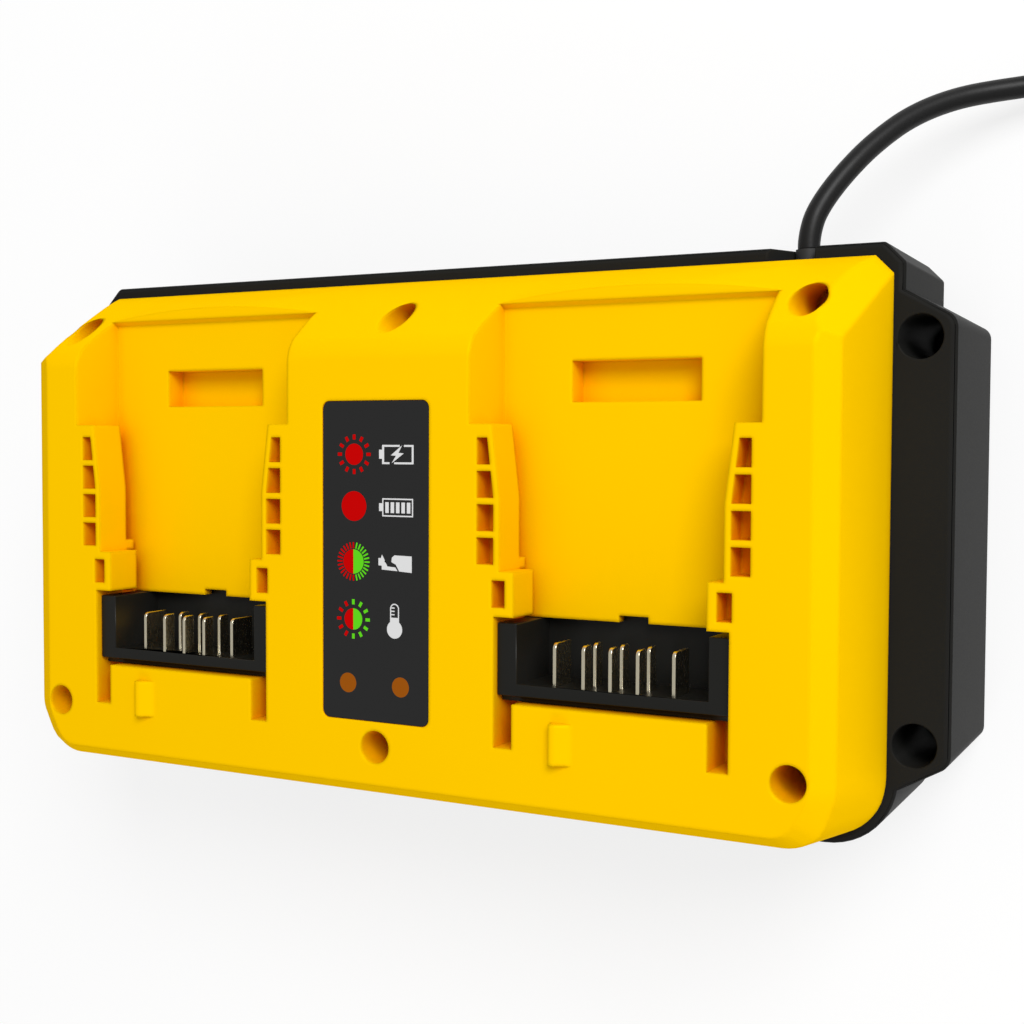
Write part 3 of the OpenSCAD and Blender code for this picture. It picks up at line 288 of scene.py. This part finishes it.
def tube(line, radius, sides):
    """Closed tube: at each point of the line a ring of sides points square to it, and a cap at each end."""
    ahead = np.gradient(line, axis=0)
    ahead /= np.linalg.norm(ahead, axis=1, keepdims=True)
    side = np.cross(ahead, (0.0, 0.0, 1.0))
    side /= np.linalg.norm(side, axis=1, keepdims=True)
    up = np.cross(side, ahead)
    angle = np.linspace(0, 2 * math.pi, sides, endpoint=False)[None, :, None]
    rings = line[:, None] + radius * (np.cos(angle) * side[:, None] + np.sin(angle) * up[:, None])
    count = len(line)
    i, k = np.meshgrid(np.arange(count - 1), np.arange(sides), indexing="ij")
    after = (k + 1) % sides
    quads = np.stack([i * sides + k, i * sides + after, (i + 1) * sides + after, (i + 1) * sides + k],
                     axis=-1)
    caps = [list(range(sides))[::-1], list(range((count - 1) * sides, count * sides))]
    return rings.reshape(-1, 3), quads.reshape(-1, 4).tolist() + caps


def piece(name, mesh, material):
    """An object made of the mesh, in one material, that rides on the case."""
    mesh.materials.clear()
    mesh.materials.append(material)
    made = bpy.data.objects.new(name, mesh)
    bpy.context.scene.collection.objects.link(made)
    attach(made, "root")
    return made


def surface_mesh(name, points, faces, smooth=True):
    mesh = bpy.data.meshes.new(name)
    mesh.from_pydata([tuple(p) for p in points], [], faces)
    mesh.polygons.foreach_set("use_smooth", [smooth] * len(mesh.polygons))
    return mesh


def cord_finish():
    """Matt black PVC whose gloss wanders slowly, with a fine grain."""
    finish = Finish("cord_black", Base_Color=rgb(0.007, 0.007, 0.007), Roughness=0.45,
                    Specular_IOR_Level=0.22)
    finish.surface(Roughness=0.38 + 0.14 * finish.noise(6 * MM))
    finish.bump(finish.noise(0.7 * MM), 0.02 * MM)
    return finish.material


cord_path = cord_line()
cord_mesh = surface_mesh("supply_cord", *tube(cord_path, CORD / 2, 20))
supply_cord = piece("supply_cord", cord_mesh, cord_finish())
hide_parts("mains_cord", "cord_coil", "plug_lead")

# ---- Plug ---------------------------------------------------------------------------------
# A two-pin plug moulded onto the lead in black PVC, its corners rounded by the mould. Its flat
# pins are nickel-plated brass.

SHARP = math.cos(math.radians(18))
MERGE = 0.002 * MM
# Reach and ambient-occlusion limits of the painted shade that darkens moulded colour in slots and recesses.
SHADE_REACH = 7 * MM
FULL_SHADE_AO = 0.15
NO_SHADE_AO = 0.62


def joined_copy(node, whole_flats=True):
    """Copy of a CAD node's mesh, its loose triangles merged and each flat region one face if asked."""
    work = bmesh.new()
    work.from_mesh(nodes[node].data)
    bmesh.ops.remove_doubles(work, verts=work.verts, dist=MERGE)
    if whole_flats:
        bmesh.ops.dissolve_limit(work, angle_limit=math.radians(1), verts=work.verts,
                                 edges=work.edges)
    mesh = bpy.data.meshes.new(node + "_soft")
    work.to_mesh(mesh)
    work.free()
    return mesh


def corners(mesh):
    """For each edge of a closed mesh: whether its two faces meet at a sharp corner, whether that corner
    stands out, and the middle of the edge in mm. A corner stands out where the cross product of the
    faces' normals points the way that the first of them runs along the edge."""
    loops, faces = len(mesh.loops), len(mesh.polygons)
    edge, start, sides = np.empty(loops, int), np.empty(loops, int), np.empty(faces, int)
    mesh.loops.foreach_get("edge_index", edge)
    mesh.loops.foreach_get("vertex_index", start)
    mesh.polygons.foreach_get("loop_total", sides)
    normal, point = np.empty((faces, 3)), np.empty((len(mesh.vertices), 3))
    mesh.polygons.foreach_get("normal", normal.ravel())
    mesh.vertices.foreach_get("co", point.ravel())
    ends = np.empty((len(mesh.edges), 2), int)
    mesh.edges.foreach_get("vertices", ends.ravel())
    order = np.argsort(edge, kind="stable").reshape(-1, 2)
    first, second = normal[np.repeat(np.arange(faces), sides)[order]].transpose(1, 0, 2)
    along = point[ends[:, 1]] - point[ends[:, 0]]
    along[start[order[:, 0]] != ends[:, 0]] *= -1
    sharp = (first * second).sum(axis=1) < SHARP
    return sharp, (np.cross(first, second) * along).sum(axis=1) > 0, point[ends].mean(axis=1) / MM


def softened(node, material, radius, share):
    """Stands for a CAD node: its outward corners are rounded to radius in mm times what share says of
    the middle of their edge, 0 to 1. A corner whose share is 0 stays crisp, as inward ones do."""
    mesh = joined_copy(node)
    sharp, outward, middle = corners(mesh)
    weight = np.where(sharp & outward, share(*middle.T), 0.0)
    weights = mesh.attributes.new("bevel_weight_edge", "FLOAT", "EDGE")
    weights.data.foreach_set("value", weight.astype(np.float32))
    crisp = mesh.attributes.new("sharp_edge", "BOOLEAN", "EDGE")
    crisp.data.foreach_set("value", sharp & (weight == 0))
    mesh.polygons.foreach_set("use_smooth", [True] * len(mesh.polygons))
    made = piece(node + "_soft", mesh, material)
    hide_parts(node)
    bevel = made.modifiers.new("rounded", "BEVEL")
    bevel.limit_method, bevel.width, bevel.segments = "WEIGHT", radius * MM, 3
    bevel.use_clamp_overlap = False
    weighted = made.modifiers.new("flats", "WEIGHTED_NORMAL")
    weighted.keep_sharp = True
    return made


def moulded_finish(name, colour, dull, grain, roughness, eased=0.0, recess_shade_colour=None, **surface):
    """Moulded plastic: slow change of tone, fine texture in height and gloss, eased corners. Where most
    of what is within the shade reach (7 mm) of a point closes it in, as in a slot, the colour goes over to
    the given shade colour: painted shade, from an ambient-occlusion node."""
    finish = Finish(name, Roughness=roughness, **surface)
    tone = finish.mix(finish.noise(45 * MM, detail=2.0), colour, dull)
    # Painted shade: the base colour darkens towards the shade colour where the ambient-occlusion node finds
    # the point enclosed.
    if recess_shade_colour:
        painted_shade_ao = finish.node("ShaderNodeAmbientOcclusion", {"samples": 6}, {"Distance": SHADE_REACH}, "AO")
        tone = finish.mix(painted_shade_ao.ramp(FULL_SHADE_AO, NO_SHADE_AO), recess_shade_colour, tone)
    finish.surface(Base_Color=tone)
    texture = finish.noise(grain, detail=2.0)
    finish.surface(Roughness=roughness - 0.05 + 0.1 * texture)
    finish.bump(texture, 0.012 * MM, eased)
    return finish.material


def metal_finish(name, colour, roughness, streak):
    """Bright plated metal with short rolling marks drawn out along streak."""
    finish = Finish(name, Base_Color=colour, Metallic=1.0, Roughness=roughness)
    marks = finish.noise(0.5 * MM, detail=4.0, stretch=streak)
    finish.surface(Roughness=roughness - 0.06 + 0.12 * marks)
    return finish.material


plug_black = moulded_finish("plug_black", rgb(0.012, 0.012, 0.012), rgb(0.015, 0.015, 0.015),
                            0.5 * MM, 0.42, Specular_IOR_Level=0.35)
pin_nickel = metal_finish("pin_nickel", rgb(0.80, 0.76, 0.68), 0.26, (1, 0.15, 1))
everywhere = lambda x, y, z: np.ones_like(x)
plug_body = softened("plug_body", plug_black, 0.4, everywhere)
plug_pins = softened("plug_blades", pin_nickel, 0.15, everywhere)

# ---- Case shells --------------------------------------------------------------------------
# Two injection-moulded halves in filled plastic: a black one behind and a yellow one in front.
# Both have the fine spark texture of the mould, which dulls their gloss, and no sharp edge.

SEAM = 41.5
CHAMFER_FOOT = 66.0
SEAM_SHARE = 0.3
FRONT_OUT = 2.2
LEFT_OUT = 2.0
FRONT_FROM, FRONT_SPAN = -45.9, 3.9
LEFT_FROM, LEFT_SPAN = -93.8, 4.0
MIDDLE_WELL_Y = -43.9
MIDDLE_WELL_KEPT = 5
BLOCK_TOP = 56


def dress(material, *names):
    """Gives CAD nodes their finish."""
    for name in names:
        mesh = nodes[name].data
        mesh.materials.clear()
        mesh.materials.append(material)


# The cover's colour goes over to a darker orange in slots, wells and recesses: painted shade.
cover_yellow = moulded_finish("cover_yellow", rgb(0.90, 0.535, 0.0), rgb(0.90, 0.505, 0.0),
                              0.35 * MM, 0.4, eased=1.2 * MM, recess_shade_colour=rgb(0.80, 0.26, 0.0),
                              Specular_IOR_Level=0.0, Metallic=0.08, Specular_Tint=rgb(1.0, 0.8, 0.2))
housing_black = moulded_finish("housing_black", rgb(0.012, 0.012, 0.0115), rgb(0.016, 0.016, 0.0145),
                               0.4 * MM, 0.4, Specular_IOR_Level=0.01)
terminal_black = moulded_finish("terminal_black", rgb(0.008, 0.008, 0.007), rgb(0.011, 0.011, 0.0095),
                                0.5 * MM, 0.32, Specular_IOR_Level=0.15)


def spread_cover():
    """Copy of the cover whose front and left sides stand further out than the solid's: by FRONT_OUT and
    LEFT_OUT at the face, and SEAM_SHARE of that at the seam, in a straight line between. The front
    grows along y by the cubic 3t^2 - 2t^3, and the rim of the middle screw well keeps its place."""
    mesh = joined_copy("top_cover", whole_flats=False)
    point = np.empty((len(mesh.vertices), 3))
    mesh.vertices.foreach_get("co", point.ravel())
    x, y, z = point.T / MM
    climb = np.clip((z - SEAM) / (CHAMFER_FOOT - SEAM), 0, 1)
    rise = np.where(z > SEAM - 0.1, SEAM_SHARE + (1 - SEAM_SHARE) * climb, 0)
    free = np.hypot(x, y - MIDDLE_WELL_Y) > MIDDLE_WELL_KEPT
    front = np.clip((FRONT_FROM - y) / FRONT_SPAN, 0, 1) * free
    left = np.clip((LEFT_FROM - x) / LEFT_SPAN, 0, 1)
    point[:, 0] -= LEFT_OUT * MM * rise * left
    point[:, 1] -= FRONT_OUT * MM * rise * front ** 2 * (3 - 2 * front)
    mesh.vertices.foreach_set("co", point.ravel())
    mesh.update()
    crisp = mesh.attributes.new("sharp_edge", "BOOLEAN", "EDGE")
    crisp.data.foreach_set("value", corners(mesh)[0])
    mesh.polygons.foreach_set("use_smooth", [True] * len(mesh.polygons))
    cover = piece("top_cover_soft", mesh, cover_yellow)
    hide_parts("top_cover")
    cover.modifiers.new("flats", "WEIGHTED_NORMAL").keep_sharp = True


spread_cover()
outside = lambda x, y, z: ((z < SEAM) & ((abs(x) > 99) | (abs(y) > 56.4))).astype(float)
softened("base_housing", housing_black, 0.4, outside)
for side in ("left", "right"):
    softened("terminal_block_" + side, terminal_black, 0.3,
             lambda x, y, z: (z > BLOCK_TOP).astype(float))
dress(housing_black, "cord_clamp")

# ---- Metal parts --------------------------------------------------------------------------
# Zinc-plated pan-head screws, and contact blades stamped from brass strip with a bright nickel
# coat. The blades' edges are rounded by the stamping.

screw_zinc = metal_finish("screw_zinc", rgb(0.42, 0.42, 0.43), 0.38, (1, 1, 1))
contact_nickel = metal_finish("contact_nickel", rgb(0.70, 0.64, 0.48), 0.26, (1, 0.15, 1))
dress(screw_zinc, "cover_screws", "led_board_screws", "terminal_screws", "board_screws", "clamp_screws")
for row in ("power_blades_left", "power_blades_right", "signal_blades_left", "signal_blades_right"):
    softened(row, contact_nickel, 0.18, lambda x, y, z: (z > 50).astype(float))

# ---- Label --------------------------------------------------------------------------------
# A self-adhesive film in matt charcoal, let into the cover. The status key is printed on it
# in white, red and green, and two round windows show the indicators.

INK_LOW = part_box("label_overlay")[1].z - 0.02 * MM
INK_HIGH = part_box("label_overlay")[1].z + 0.03 * MM
LAMPS = ((-5.21, 17.75), (-5.26, 6.84), (-5.40, -4.87), (-5.43, -17.07))
ICON_X = 1.08


def film_finish():
    """Matt charcoal film with a fine emboss."""
    finish = Finish("label_charcoal", Base_Color=rgb(0.009, 0.009, 0.009), Roughness=0.42,
                    Specular_IOR_Level=0.28)
    finish.bump(finish.noise(0.25 * MM, detail=1.0), 0.004 * MM)
    return finish.material


def plain_finish(name, colour, roughness, **surface):
    """Even colour whose gloss varies slightly."""
    finish = Finish(name, Base_Color=colour, Roughness=roughness, **surface)
    finish.surface(Roughness=roughness - 0.04 + 0.08 * finish.noise(1.5 * MM))
    return finish.material


def box_shape(left, low, right, high):
    """The four corners of an upright rectangle, in mm."""
    return np.array([(left, low), (right, low), (right, high), (left, high)], float)


def disc_shape(x, y, radius, first=0.0, turn=360.0):
    """Round patch, or the part of it from the angle first over turn degrees, closed by its chord."""
    count = int(turn / 6) + (turn != 360)
    angle = np.radians(first + np.linspace(0, turn, count, endpoint=turn != 360))
    return np.stack([x + radius * np.cos(angle), y + radius * np.sin(angle)], axis=1)


def ray_shapes(x, y, inner, outer, width, angles):
    """Short bars that point outwards from a centre at the given angles."""
    bar = box_shape(inner, -width / 2, outer, width / 2)
    angles = np.radians(np.asarray(angles, float))[:, None]
    turned = np.stack([bar[:, 0] * np.cos(angles) - bar[:, 1] * np.sin(angles),
                       bar[:, 0] * np.sin(angles) + bar[:, 1] * np.cos(angles)], axis=-1)
    return list(turned + (x, y))


def outline_shapes(left, low, right, high, stroke):
    """The four strips of a rectangular outline, which meet end to side."""
    return [box_shape(left, low, right, low + stroke), box_shape(left, high - stroke, right, high),
            box_shape(left, low + stroke, left + stroke, high - stroke),
            box_shape(right - stroke, low + stroke, right, high - stroke)]


def printed(name, shapes, colour):
    """A layer of ink: each flat shape is carried up from just inside the film to just above it."""
    faces, points, first = [], [], 0
    for shape in shapes:
        count = len(shape)
        low, high = np.arange(count) + first, np.arange(count) + first + count
        faces += [low[::-1].tolist(), high.tolist()]
        faces += np.stack([low, np.roll(low, -1), np.roll(high, -1), high], axis=1).tolist()
        for height in (INK_LOW, INK_HIGH):
            points.append(np.column_stack([shape * MM, np.full(count, height)]))
        first += 2 * count
    mesh = surface_mesh(name, np.vstack(points), faces, smooth=False)
    ink = plain_finish(name, colour, 0.5, Specular_IOR_Level=0.03)
    return piece(name, mesh, ink)


def bolt_icon(x, y):
    """Battery outline with a lightning bolt through its gaps."""
    rest = [box_shape(0.0, 1.1, 0.75, 3.0), box_shape(0.75, 0, 1.25, 4.0),
            box_shape(8.05, 0, 8.5, 4.0), box_shape(1.25, 3.6, 5.1, 4.0),
            box_shape(6.15, 3.6, 8.05, 4.0), box_shape(1.25, 0, 2.6, 0.4),
            box_shape(3.75, 0, 8.05, 0.4)]
    bolt = np.array([(5.7, 3.94), (2.9, 1.83), (4.2, 1.75), (3.1, 0.17), (6.1, 2.25), (4.8, 2.36)])
    return [shape + (x, y - 2.0) for shape in rest + [bolt]]


def bars_icon(x, y):
    """Battery outline with five bars."""
    bars = [box_shape(1.55 + 1.33 * i, 0.75, 2.4 + 1.33 * i, 3.0) for i in range(5)]
    shapes = outline_shapes(0.8, 0, 8.4, 3.8, 0.28) + [box_shape(0, 1.1, 0.8, 2.75)] + bars
    return [shape + (x, y - 1.9) for shape in shapes]


def broken_icon(x, y):
    """Battery split in two along a jagged line."""
    left = np.array([(0, 2.78), (0, 1.26), (0.82, 1.21), (0.82, 0.4), (4.75, 0.21), (4.15, 0.98),
                     (2.24, 1.1), (1.82, 1.8), (1.49, 2.03), (1.57, 2.38), (0.88, 3.54), (0.6, 2.78)])
    right = np.array([(4.0, 3.48), (3.33, 2.96), (3.24, 2.03), (4.3, 1.56), (5.15, 0.17), (8.23, 0),
                      (8.23, 3.4)])
    return [shape + (x, y - 1.8) for shape in (left, right)]


def thermometer_icon(x, y):
    """Round bulb that runs up into a tube, which is full below and an outline with three marks above."""
    bulb = np.vstack([disc_shape(0, 2.02, 1.88, 125.8, 288.4), [(1.1, 4.5), (-1.1, 4.5)]])
    rim = np.vstack([disc_shape(0, 6.35, 1.1, 0, 180), disc_shape(0, 6.35, 0.84, 0, 180)[::-1]])
    walls = [box_shape(-1.1, 4.5, -0.84, 6.35), box_shape(0.84, 4.5, 1.1, 6.35)]
    marks = [box_shape(-0.84, level, 0.0, level + 0.26) for level in (5.0, 5.7, 6.4)]
    return [shape + (x, y - 3.8) for shape in walls + marks + [bulb, rim]]


white = (bolt_icon(ICON_X, LAMPS[0][1]) + bars_icon(ICON_X, LAMPS[1][1] - 0.1) +
         broken_icon(ICON_X - 0.15, LAMPS[2][1]) + thermometer_icon(4.95, LAMPS[3][1] + 0.15))
red = ([disc_shape(*LAMPS[0], 2.25), disc_shape(*LAMPS[1], 3.15), disc_shape(*LAMPS[2], 2.6, 90, 180),
        disc_shape(*LAMPS[3], 2.27, 90, 180)] +
       ray_shapes(*LAMPS[0], 3.1, 4.18, 0.7, np.arange(0, 360, 30)) +
       ray_shapes(*LAMPS[2], 2.8, 4.1, 0.36, np.arange(7, 22) * 360 / 28) +
       ray_shapes(*LAMPS[3], 3.08, 4.2, 0.68, np.arange(120, 241, 30)))
green = ([disc_shape(*LAMPS[2], 2.6, -90, 180), disc_shape(*LAMPS[3], 2.27, -90, 180)] +
         ray_shapes(*LAMPS[2], 2.8, 4.1, 0.36, np.arange(-6, 7) * 360 / 28) +
         ray_shapes(*LAMPS[3], 3.08, 4.2, 0.68, np.arange(-90, 91, 30)))
printed("ink_white", white, rgb(0.62, 0.62, 0.62))
printed("ink_red", red, rgb(0.47, 0.0, 0.0))
printed("ink_green", green, rgb(0.10, 0.56, 0.01))
dress(film_finish(), "label_overlay")
dress(plain_finish("lens_amber", rgb(0.27, 0.068, 0.0), 0.25, Specular_IOR_Level=0.1),
      "indicator_lenses")

# ---- Rubber and inner parts ---------------------------------------------------------------
# Rubber feet and strain relief, the tie round the coil, and what the case holds: two circuit
# boards with their parts, and the leads between them. Each has the finish that such parts have.

dress(plain_finish("rubber_black", rgb(0.012, 0.012, 0.012), 0.6), "rubber_feet", "strain_relief")
dress(cord_finish(), "inner_cord")
dress(plain_finish("tie_black", rgb(0.012, 0.012, 0.012), 0.8), "coil_tie")
dress(plain_finish("board_green", rgb(0.02, 0.12, 0.05), 0.35), "main_board", "led_board")
dress(plain_finish("led_red", rgb(0.55, 0.03, 0.02), 0.2), "indicator_leds")
dress(plain_finish("ferrite_grey", rgb(0.06, 0.06, 0.065), 0.55), "transformer_core")
dress(plain_finish("tape_yellow", rgb(0.75, 0.5, 0.05), 0.3), "transformer_winding", "filter_capacitor")
dress(metal_finish("copper_wire", rgb(0.6, 0.25, 0.1), 0.3, (1, 1, 1)), "filter_choke")
dress(plain_finish("sleeve_blue", rgb(0.02, 0.03, 0.12), 0.3), "bulk_capacitor")
dress(plain_finish("sleeve_green", rgb(0.02, 0.1, 0.07), 0.3), "output_capacitors")
dress(plain_finish("package_black", rgb(0.03, 0.03, 0.03), 0.5), "bridge_rectifier", "power_transistors")
dress(plain_finish("ceramic_cream", rgb(0.7, 0.68, 0.6), 0.2), "mains_fuse")
dress(metal_finish("fin_aluminium", rgb(0.6, 0.6, 0.62), 0.35, (1, 1, 0.1)),
      "primary_heatsink", "output_heatsink")
dress(plain_finish("wire_red", rgb(0.45, 0.02, 0.02), 0.4),
      "terminal_leads_left", "terminal_leads_right")
dress(plain_finish("wire_white", rgb(0.6, 0.6, 0.57), 0.4), "indicator_lead")
dress(plain_finish("wire_brown", rgb(0.12, 0.05, 0.02), 0.4), "mains_leads")
